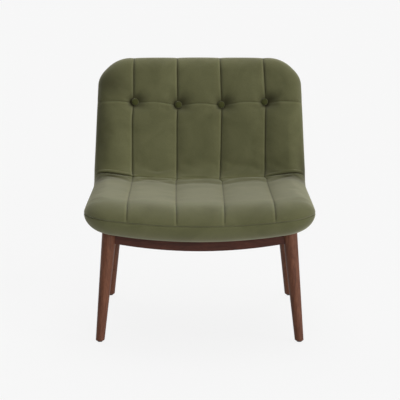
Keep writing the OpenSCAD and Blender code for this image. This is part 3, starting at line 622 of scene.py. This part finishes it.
def face_seams_and_painted_light(columns, levels):
    """The face's dark seam lines, painted shade and painted highlights at each point."""
    x, s = follow_seams(columns, levels)
    edge = edge_gap(x, s)
    share = panel_share(x, s)
    row = s - row_line(x, share)
    fold = folds(x, s, CREASE_FOLDS, 0, CREASE_S)
    # Dark seam lines, then painted shade in the folds, the patches and the tufts' pits
    seam_lines_and_painted_light = [
        groove(seam_gap(x, s), PRESSED_W, SEAM_PRESSED) * np.clip(edge / PRESSED_FADE, 0, 1),
        groove(row, PRESSED_W, SEAM_PRESSED) * row_pull(share),
        groove(rim_arc(edge), PRESSED_W, EDGE_PRESSED),
        np.clip(fold / FOLD_FULL_DEPTH, 0, 1),
    ]
    seam_lines_and_painted_light += [painted_shade_patch(x, s - CREASE_S, *place) for place in PAINTED_SHADE_PATCHES]
    middle = np.clip((LIT_BAND_HALF_W - np.abs(x)) / LIT_BAND_FADE, 0, 1)
    # Painted highlights on the folds' rolls, beside the seams, along the crease and along the top edge
    painted_highlights = [
        np.clip(-fold / FOLD_FULL_ROLL, 0, 1),
        groove(row + LIT_STRIP_OFF, LIT_STRIP_W, LIT_STRIP),
        groove(s - CREASE_S, LIT_BAND_RUN, LIT_CREASE) * middle,
        groove(BODY_RUN - s, LIT_BAND_RUN, LIT_TOP),
    ]
    for k in range(len(SEAM_XS)):
        seam_lines_and_painted_light.append(np.exp(-((tuft_reach(x, s, k) / TUFT_SHADE_W) ** TUFT_SHADE_POWER)))
        seam_lines_and_painted_light.append(painted_shade_patch(x - seam_x(k, ROW_S), s - ROW_S, *TUFT_PAINTED_SHADE))
        painted_highlights.append(groove(x - seam_x(k, s) + LIT_STRIP_OFF, LIT_STRIP_W, LIT_STRIP))
    seam_lines_and_painted_light = np.max(seam_lines_and_painted_light, axis=0)
    painted_highlights = np.max(painted_highlights, axis=0) * (1 - seam_lines_and_painted_light)
    return UNPAINTED_LEVEL * (1 - painted_highlights) + (1 - UNPAINTED_LEVEL) * seam_lines_and_painted_light


def keep_seams_and_painted_light(piece, values):
    """Keeps the dark seam lines and painted light at each point. The inside is as dark as the darkest point.
    """
    kept = piece.data.attributes.new("seam_lines_and_painted_light", "FLOAT", "POINT")
    inside = np.full(len(piece.data.vertices) - values.size, values.max())
    kept.data.foreach_set("value", np.concatenate([values.ravel(), inside]))


def outer_layers(columns, levels):
    """The cover of the underside and outside back, and its inside."""
    x, level = np.meshgrid(columns, levels)
    s = zoned_s(x, level)
    gap = edge_gap(x, s)
    smooth = placed(x, s, -rounding(gap) * outer_drop(s) * thinned(x))
    inward = edge_line(gap, x, s) + groove(s - COVER_JOINT_S, EDGE_GROOVE_W, EDGE_GROOVE)
    return cover_layers(smooth, -grid_normals(smooth), inward, gap)


# The cover's fabric, blown up by simulation

SIM_STEP = 0.0075
SIM_FRAMES = 16
CLOTH = {
    "quality": 5,
    "mass": 0.3,
    "tension_stiffness": 30,
    "compression_stiffness": 30,
    "shear_stiffness": 10,
    "bending_stiffness": 4,
    "shrink_min": -0.006,
    "use_pressure": True,
    "uniform_pressure_force": 4,
}
PUFF_LIMIT = 0.0035
# What is held: points this near to a seam or to a button, and the cross seam up to this share of a panel
PIN_W, TUFT_PIN_R, ROW_PIN_SHARE = 0.0045, 0.016, 0.5
EVENING_PASSES = 12
EVENING_FADE = 0.06


def pressed_out(points, pinned):
    """Where a sheet of cloth goes when it is pressed from below and held at its pinned points."""
    rows, columns = points.shape[:2]
    sheet = make_object("sheet", points.reshape(-1, 3).tolist(), grid_quads(rows, columns).tolist())
    pins = sheet.vertex_groups.new(name="pins")
    pins.add(np.flatnonzero(pinned).tolist(), 1.0, "REPLACE")
    cloth = sheet.modifiers.new("cloth", "CLOTH")
    for key, value in CLOTH.items():
        setattr(cloth.settings, key, value)
    cloth.settings.vertex_group_mass = "pins"
    cloth.settings.effector_weights.gravity = 0
    cloth.collision_settings.use_collision = False
    cloth.point_cache.frame_start = 1
    cloth.point_cache.frame_end = SIM_FRAMES
    for number in range(1, SIM_FRAMES + 1):
        scene.frame_set(number)
    moved = np.empty(rows * columns * 3)
    evaluated(sheet).data.vertices.foreach_get("co", moved)
    scene.frame_set(1)
    drop(sheet)
    return moved.reshape(points.shape)


def resampled(values, old_columns, old_levels, columns, levels):
    """Values on one grid of columns and levels, carried over to another."""
    along = np.stack([np.interp(columns, old_columns, row) for row in values])
    return np.stack([np.interp(levels, old_levels, column) for column in along.T], axis=1)


def evened(values):
    """Ripples that run across the rows, smoothed away."""
    for _ in range(EVENING_PASSES):
        inner = (values[:-2] + 2 * values[1:-1] + values[2:]) / 4
        values = np.concatenate([values[:1], inner, values[-1:]])
    return values


def sim_places(stops):
    """Places from stop to stop, evenly spaced for the simulation."""
    return tidy_places([place for pair in zip(stops, stops[1:]) for place in even(*pair, SIM_STEP)])


def face_puff(columns, levels):
    """How far the simulated cover stands out from its drawn shape."""
    sim_columns = sim_places([-HALF_W, -inner_x] + SEAM_XS + [inner_x, HALF_W])
    sim_levels = sim_places([0, RIM_R, CREASE_S, ROW_S, BODY_RUN - RIM_R, BODY_RUN])
    x, s = follow_seams(sim_columns, sim_levels)
    points, _ = face_layers(sim_columns, sim_levels, 0.0)
    tuft = np.min([np.hypot(x - seam_x(k, ROW_S), s - ROW_S) for k in range(len(SEAM_XS))], axis=0)
    pinned = (
        (edge_gap(x, s) < SIM_STEP)
        | (seam_gap(x, s) < PIN_W)
        | (tuft < TUFT_PIN_R)
        | (np.abs(s - CREASE_S) < PIN_W)
        | ((np.abs(s - ROW_S) < PIN_W) & (panel_share(x, s) < ROW_PIN_SHARE))
    )
    stands = np.sum((pressed_out(points, pinned) - points) * grid_normals(points), axis=-1)
    seat_share = np.clip((SEAT_RUN - s) / EVENING_FADE, 0, 1)
    stands = stands * (1 - seat_share) + evened(stands) * seat_share
    stands = PUFF_LIMIT * np.tanh(stands / PUFF_LIMIT)
    return resampled(stands, sim_columns, sim_levels, columns, levels)


# The face and the outer cover

puff = face_puff(face_columns, face_levels)
face = closed_object("quilted_face", *face_layers(face_columns, face_levels, puff))
keep_seams_and_painted_light(face, face_seams_and_painted_light(face_columns, face_levels))
outside, inside = outer_layers(outer_columns, outer_levels)
outer = closed_object("outer_cover", outside[:, ::-1], inside[:, ::-1])
keep_seams_and_painted_light(outer, np.full(outside.shape[:2], UNPAINTED_LEVEL))

# Fillings under the face

FOAM_SPLIT = 0.0003
BORE_TOP, BORE_BOTTOM, BORE_STEPS = 0.08, -0.01, 24


def filling(name, first, last):
    """A foam pad that follows the underside of the face's cover."""
    columns = tidy_places(even(-HALF_W, HALF_W, COARSE_STEP)) * (1 - FOAM_INSET / HALF_W)
    x, level = np.meshgrid(columns, tidy_places(even(first, last, COARSE_STEP)))
    s = zoned_s(x, level, FOAM_INSET)
    gap = edge_gap(x, s)
    rise = face_rise(s) * thinned(x)
    lining = rounding(gap - QUILT_T, RIM_R - QUILT_T) * (rise - QUILT_T)
    drawn = face_rounding(gap, s) * rise - drawn_in(x, s) - COVER_WALL
    top = placed(x, s, np.minimum(lining, drawn) - FOAM_GAP)
    return closed_object(name, top, placed(x, s, np.full(x.shape, FOAM_RISE)))


def button_place(k):
    """The middle surface under a button: a point, and the axes across, along and out."""
    reach = 0.001
    x = SEAM_XS[k]
    point = placed(x, ROW_S, 0.0)
    side = placed(x + reach, ROW_S, 0.0) - placed(x - reach, ROW_S, 0.0)
    side /= np.linalg.norm(side)
    out = np.cross(side, placed(x, ROW_S + reach, 0.0) - placed(x, ROW_S - reach, 0.0))
    out /= np.linalg.norm(out)
    return point, side, np.cross(out, side), out


def turned(name, place, profile_points, steps, ripple=None):
    """A closed turned form about a button's axis, from its front pole to its back pole."""
    origin, side, up, out = place
    rings = profile_points[1:-1]
    points = [origin + out * profile_points[0][1]]
    for radius, height in rings:
        for step in range(steps):
            angle = 2 * math.pi * step / steps
            lift = height - (ripple(radius, angle) if ripple else 0)
            points.append(origin + (side * math.cos(angle) + up * math.sin(angle)) * radius + out * lift)
    points.append(origin + out * profile_points[-1][1])
    polygons = []
    for step in range(steps):
        after = (step + 1) % steps
        polygons.append((0, 1 + step, 1 + after))
        for ring in range(len(rings) - 1):
            a, b = 1 + ring * steps, 1 + (ring + 1) * steps
            polygons.append((a + step, b + step, b + after, a + after))
        last = 1 + (len(rings) - 1) * steps
        polygons.append((last + step, len(points) - 1, last + after))
    return make_object(name, [tuple(point) for point in points], polygons)


def bore_tufts(pad):
    """Holes through the pad where the buttons' twines run."""
    side = [(TUFT_HOLE_R, BORE_TOP), (TUFT_HOLE_R, BORE_BOTTOM)]
    outline = [(0, BORE_TOP)] + side + [(0, BORE_BOTTOM)]
    bores = [turned("bore", button_place(k), outline, BORE_STEPS) for k in range(len(SEAM_XS))]
    for bore in bores:
        cut = pad.modifiers.new("bore", "BOOLEAN")
        cut.operation = "DIFFERENCE"
        cut.solver = "EXACT"
        cut.object = bore
    bored = bpy.data.meshes.new_from_object(evaluated(pad))
    pad.modifiers.clear()
    pad.data = bored
    for bore in bores:
        drop(bore)


seat_filling = filling("seat_filling", 0, FOAM_JOINT_S - FOAM_SPLIT)
back_filling = filling("back_filling", FOAM_JOINT_S + FOAM_SPLIT, BODY_RUN)
bore_tufts(back_filling)

# Covered buttons

BUTTON_DOME = 0.0050
# The tucked back of a button: shares of its radius, and heights
BUTTON_TUCK = [(0.97, -0.0012), (0.80, -0.0026), (0.45, -0.0050), (0, -0.0076)]
DOME_RINGS, BUTTON_STEPS = 10, 78
GATHER_COUNT, GATHER_DEPTH, GATHER_POWER = 13, 0.0005, 4
# The gathers bunch up and spread out, by so many radians and so many times in a round
GATHER_SWAY, GATHER_SWAYS = 2, 3


def covered_button(k):
    """A domed button with its velvet gathered under the rim."""
    low, high = (np.array(corner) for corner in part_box(f"button_{k + 1}"))
    turns = np.linspace(0, math.pi / 2, DOME_RINGS)
    domed = [(BUTTON_R * math.sin(turn), BUTTON_DOME * math.cos(turn)) for turn in turns]
    tucked = [(BUTTON_R * share, height) for share, height in BUTTON_TUCK]

    def gathers(radius, angle):
        edge = (radius / BUTTON_R) ** GATHER_POWER
        sway = GATHER_SWAY * math.sin(GATHER_SWAYS * angle + k)
        return edge * GATHER_DEPTH * (1 + math.cos(GATHER_COUNT * angle + sway))

    button = turned(f"covered_button_{k + 1}", button_place(k), domed + tucked, BUTTON_STEPS, gathers)
    corners = np.array([vertex.co for vertex in button.data.vertices])
    shift = (low + high) / 2 - (corners.min(axis=0) + corners.max(axis=0)) / 2
    button.data.transform(Matrix.Translation(shift))
    smooth = button.modifiers.new("smooth", "SUBSURF")
    smooth.levels = smooth.render_levels = 1
    return button


buttons = [covered_button(k) for k in range(len(SEAM_XS))]

# What each piece rides on and stands for

pieces = [
    (face, ["seat_face_cover", "back_face_cover"], "velvet"),
    (outer, ["underside_cover", "outside_back_cover"], "velvet"),
    (seat_filling, ["seat_foam"], "foam"),
    (back_filling, ["back_foam"], "foam"),
]
pieces += [(button, [f"button_{k + 1}"], "velvet") for k, button in enumerate(buttons)]
for piece, nodes, slot in pieces:
    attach(piece, "root")
    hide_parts(*nodes)

# Materials


def srgb(red, green, blue):
    """A colour written as on a screen, in linear light and with its alpha."""
    shares = [value / 255 for value in (red, green, blue)]
    return [((v + 0.055) / 1.055) ** 2.4 if v > 0.04045 else v / 12.92 for v in shares] + [1]


WHITE = srgb(255, 255, 255)


class Shader:
    """A small builder of node materials. Its patterns are laid out in a piece's own coordinates."""

    def __init__(self, name, roughness, **constants):
        self.material = bpy.data.materials.new(name)
        self.material.use_nodes = True
        self.tree = self.material.node_tree
        self.surface = self.tree.nodes["Principled BSDF"]
        self.surface.inputs["Roughness"].default_value = roughness
        for key, value in constants.items():
            self.surface.inputs[key.replace("_", " ")].default_value = value
        self.coordinates = self.tree.nodes.new("ShaderNodeTexCoord").outputs["Object"]

    def node(self, kind, **settings):
        made = self.tree.nodes.new("ShaderNode" + kind)
        for key, value in settings.items():
            setattr(made, key, value)
        return made

    def link(self, output, target):
        self.tree.links.new(output, target)

    def stretched(self, scale):
        mapping = self.node("Mapping")
        mapping.inputs["Scale"].default_value = scale
        self.link(self.coordinates, mapping.inputs["Vector"])
        return mapping.outputs["Vector"]

    def noise(self, scale, detail, rough=0.55, distortion=0.0, vector=None):
        made = self.node("TexNoise")
        made.inputs["Scale"].default_value = scale
        made.inputs["Detail"].default_value = detail
        made.inputs["Roughness"].default_value = rough
        made.inputs["Distortion"].default_value = distortion
        self.link(vector or self.coordinates, made.inputs["Vector"])
        return made.outputs["Fac"]

    def ramp(self, value, stops):
        made = self.node("ValToRGB")
        elements = made.color_ramp.elements
        while len(elements) < len(stops):
            elements.new(0.5)
        for element, (place, colour) in zip(elements, stops):
            element.position = place
            element.color = colour
        self.link(value, made.inputs["Fac"])
        return made.outputs["Color"]

    def multiplied(self, first, second, factor):
        made = self.node("Mix", data_type="RGBA", blend_type="MULTIPLY")
        made.inputs["Factor"].default_value = factor
        for name, output in (("A", first), ("B", second)):
            self.link(output, next(i for i in made.inputs if i.name == name and i.type == "RGBA"))
        return next(o for o in made.outputs if o.type == "RGBA")

    def bump(self, height, strength, distance, under=None):
        made = self.node("Bump")
        made.inputs["Strength"].default_value = strength
        made.inputs["Distance"].default_value = distance
        self.link(height, made.inputs["Height"])
        if under is not None:
            self.link(under, made.inputs["Normal"])
        return made.outputs["Normal"]

    def colour(self, output):
        self.link(output, self.surface.inputs["Base Color"])

    def normal(self, output):
        self.link(output, self.surface.inputs["Normal"])

    def rough(self, output, low, high):
        made = self.node("MapRange")
        made.inputs["To Min"].default_value = low
        made.inputs["To Max"].default_value = high
        self.link(output, made.inputs["Value"])
        self.link(made.outputs["Result"], self.surface.inputs["Roughness"])


def velvet_material(name, dark, light):
    """Velvet between two colours of pile, with the dark seam lines, painted shade and painted highlights that
    the mesh keeps.
    """
    shader = Shader(name, roughness=0.85, Sheen_Weight=0.32, Sheen_Roughness=0.50, Specular_IOR_Level=0.15)
    shader.surface.inputs["Sheen Tint"].default_value = srgb(255, 252, 228)
    pile = shader.noise(scale=9.0, detail=3.0, distortion=0.6)
    fibre = shader.noise(scale=900.0, detail=2.0)
    base = shader.ramp(pile, [(0.25, dark), (0.75, light)])
    speck = shader.ramp(fibre, [(0.35, srgb(150, 150, 150)), (0.65, WHITE)])
    piled = shader.multiplied(base, speck, factor=0.35)
    seam_lines_and_painted_light = shader.node("Attribute", attribute_name="seam_lines_and_painted_light").outputs["Fac"]
    # Painted highlights lighten the pile; dark seam lines and painted shade darken it
    shade = shader.ramp(seam_lines_and_painted_light, [(0.0, WHITE), (UNPAINTED_LEVEL, srgb(228, 228, 228)), (1.0, srgb(98, 91, 56))])
    shader.colour(shader.multiplied(piled, shade, factor=1.0))
    soft = shader.bump(shader.noise(scale=38.0, detail=4.0, distortion=0.4), strength=0.10, distance=0.004)
    shader.normal(shader.bump(fibre, strength=0.25, distance=0.0004, under=soft))
    return shader.material


def wood_material(name, grain, dark, light, roughness):
    """Stained wood. The grain gives how fast it changes along x, y and z."""
    shader = Shader(name, roughness, Specular_IOR_Level=0.20)
    vector = shader.stretched(grain)
    rings = shader.noise(scale=7.0, detail=6.0, rough=0.6, distortion=1.2, vector=vector)
    pores = shader.noise(scale=60.0, detail=3.0, rough=0.7, vector=vector)
    base = shader.ramp(rings, [(0.30, dark), (0.70, light)])
    streak = shader.ramp(pores, [(0.40, srgb(150, 140, 135)), (0.60, WHITE)])
    shader.colour(shader.multiplied(base, streak, factor=0.5))
    shader.rough(pores, low=roughness + 0.12, high=roughness - 0.05)
    shader.normal(shader.bump(pores, strength=0.15, distance=0.0004))
    return shader.material


def plain_material(name, colour, roughness, scale, spread=0.75, metallic=0.0):
    """One colour with a fine grain, whose dark parts have the spread's share of it."""
    shader = Shader(name, roughness, Metallic=metallic)
    grain = shader.noise(scale, detail=4.0)
    shader.colour(shader.ramp(grain, [(0.3, [v * spread for v in colour[:3]] + [1]), (0.7, colour)]))
    shader.normal(shader.bump(grain, strength=0.3, distance=0.0004))
    return shader.material


# The rails' walnut is darker than the legs': painted shade, as they sit under the seat
RAIL_SHADED_DARK, RAIL_SHADED_LIGHT = srgb(58, 28, 19), srgb(80, 42, 30)
velvet = velvet_material("velvet", dark=srgb(95, 95, 62), light=srgb(113, 113, 78))
# The buttons' velvet is a darker copy of the face's velvet: painted shade, as they sit in their pits
button_velvet_painted_shade = velvet_material("button_velvet_painted_shade", dark=srgb(52, 55, 20), light=srgb(64, 66, 28))
leg_wood = wood_material("walnut_legs", (9, 9, 0.8), srgb(88, 52, 36), srgb(120, 76, 54), roughness=0.45)
shaded_rail_wood = wood_material("walnut_rails", (0.8, 9, 9), RAIL_SHADED_DARK, RAIL_SHADED_LIGHT, roughness=0.55)
shaded_side_wood = wood_material("walnut_side_rails", (9, 0.8, 9), RAIL_SHADED_DARK, RAIL_SHADED_LIGHT, roughness=0.55)
plywood = wood_material("plywood", (2, 6, 30), srgb(170, 132, 84), srgb(214, 182, 132), roughness=0.6)
foam = plain_material("foam", srgb(238, 232, 208), roughness=0.95, scale=400.0)
steel = plain_material("zinc_steel", srgb(190, 192, 196), 0.35, scale=120.0, spread=0.9, metallic=1.0)
webbing = plain_material("webbing", srgb(34, 34, 36), roughness=0.85, scale=500.0)
glide = plain_material("glide_plastic", srgb(46, 40, 36), roughness=0.55, scale=300.0)
twine = plain_material("twine", srgb(206, 180, 138), roughness=0.8, scale=900.0)
BY_SLOT = {
    "velvet": velvet,
    "walnut": leg_wood,
    "plywood": plywood,
    "foam": foam,
    "steel": steel,
    "webbing": webbing,
    "glide": glide,
    "twine": twine,
}
BY_RAIL = {
    "front_rail": shaded_rail_wood,
    "rear_rail": shaded_rail_wood,
    "side_rail_left": shaded_side_wood,
    "side_rail_right": shaded_side_wood,
}


def dress(piece, material):
    """Gives a piece one material only."""
    piece.data.materials.clear()
    piece.data.materials.append(material)


slot_of = {entry["node"]: entry["material_slot"] for entry in frame["record"]["subparts"]}
for name, node in frame["nodes"].items():
    material = BY_RAIL.get(name, BY_SLOT[slot_of[name]])
    for slot in node.material_slots:
        slot.material = material
for piece in (face, outer):
    dress(piece, velvet)
for button in buttons:
    dress(button, button_velvet_painted_shade)
for piece in (seat_filling, back_filling):
    dress(piece, foam)

# Light and floor

# Soft lamps: where each stands from the chair, its strength and how wide it is in degrees
LAMPS = [
    ("right_key", (0.92, -0.38, 0.30), 1.5, 36),
    ("top_lamp", (0.10, 0.00, 1.00), 1.0, 60),
    ("rear_lamp", (0.00, 0.60, 0.80), 1.3, 70),
    ("front_lamp", (0.42, -1.00, 0.15), 1.75, 50),
]
FILL_STRENGTH = 0.03
# The pale background, and the share of it that the floor shows beside its own shaded paint
SEEN_COLOUR = srgb(247, 247, 247)
FLOOR_COLOUR = srgb(226, 226, 226)
FLOOR_GLOW = 1.03
FLOOR_SHARE = 0.90
FLOOR_HALF = 12.0

for name, stands, strength, width in LAMPS:
    data = bpy.data.lights.new(name, "SUN")
    data.energy = strength
    data.angle = math.radians(width)
    lamp = bpy.data.objects.new(name, data)
    lamp.rotation_euler = Vector(stands).to_track_quat("Z", "Y").to_euler()
    scene.collection.objects.link(lamp)


def seen_share(tree, share):
    """The share for rays that show the background: from the camera, mirrored or through glass."""
    path = tree.nodes.new("ShaderNodeLightPath")
    total = path.outputs["Is Camera Ray"]
    for kind in ("Is Glossy Ray", "Is Transmission Ray"):
        larger = tree.nodes.new("ShaderNodeMath")
        larger.operation = "MAXIMUM"
        tree.links.new(total, larger.inputs[0])
        tree.links.new(path.outputs[kind], larger.inputs[1])
        total = larger.outputs["Value"]
    scaled = tree.nodes.new("ShaderNodeMath")
    scaled.operation = "MULTIPLY"
    scaled.inputs[1].default_value = share
    tree.links.new(total, scaled.inputs[0])
    return scaled.outputs["Value"]


def show(tree, share, plain, seen, output):
    """Shows plain to the object and a share of seen to the rays that show the background."""
    choose = tree.nodes.new("ShaderNodeMixShader")
    tree.links.new(seen_share(tree, share), choose.inputs["Fac"])
    tree.links.new(plain, choose.inputs[1])
    tree.links.new(seen, choose.inputs[2])
    tree.links.new(choose.outputs["Shader"], tree.nodes[output].inputs["Surface"])


world = bpy.data.worlds.new("studio")
world.use_nodes = True
scene.world = world
tree = world.node_tree
fill = tree.nodes["Background"]
fill.inputs["Color"].default_value = WHITE
fill.inputs["Strength"].default_value = FILL_STRENGTH
backdrop = tree.nodes.new("ShaderNodeBackground")
backdrop.inputs["Color"].default_value = SEEN_COLOUR
show(tree, 1.0, fill.outputs["Background"], backdrop.outputs["Background"], "World Output")

floor_mesh = bpy.data.meshes.new("floor")
corners = [(x * FLOOR_HALF, y * FLOOR_HALF, 0) for x, y in ((-1, -1), (1, -1), (1, 1), (-1, 1))]
floor_mesh.from_pydata(corners, [], [(0, 1, 2, 3)])
floor = bpy.data.objects.new("floor", floor_mesh)
scene.collection.objects.link(floor)
floor_material = bpy.data.materials.new("floor")
floor_material.use_nodes = True
tree = floor_material.node_tree
paint = tree.nodes["Principled BSDF"]
paint.inputs["Base Color"].default_value = FLOOR_COLOUR
paint.inputs["Roughness"].default_value = 1.0
paint.inputs["Specular IOR Level"].default_value = 0.0
glow = tree.nodes.new("ShaderNodeEmission")
glow.inputs["Color"].default_value = SEEN_COLOUR
glow.inputs["Strength"].default_value = FLOOR_GLOW
show(tree, FLOOR_SHARE, paint.outputs["BSDF"], glow.outputs["Emission"], "Material Output")
dress(floor, floor_material)

scene.view_settings.view_transform = "Standard"
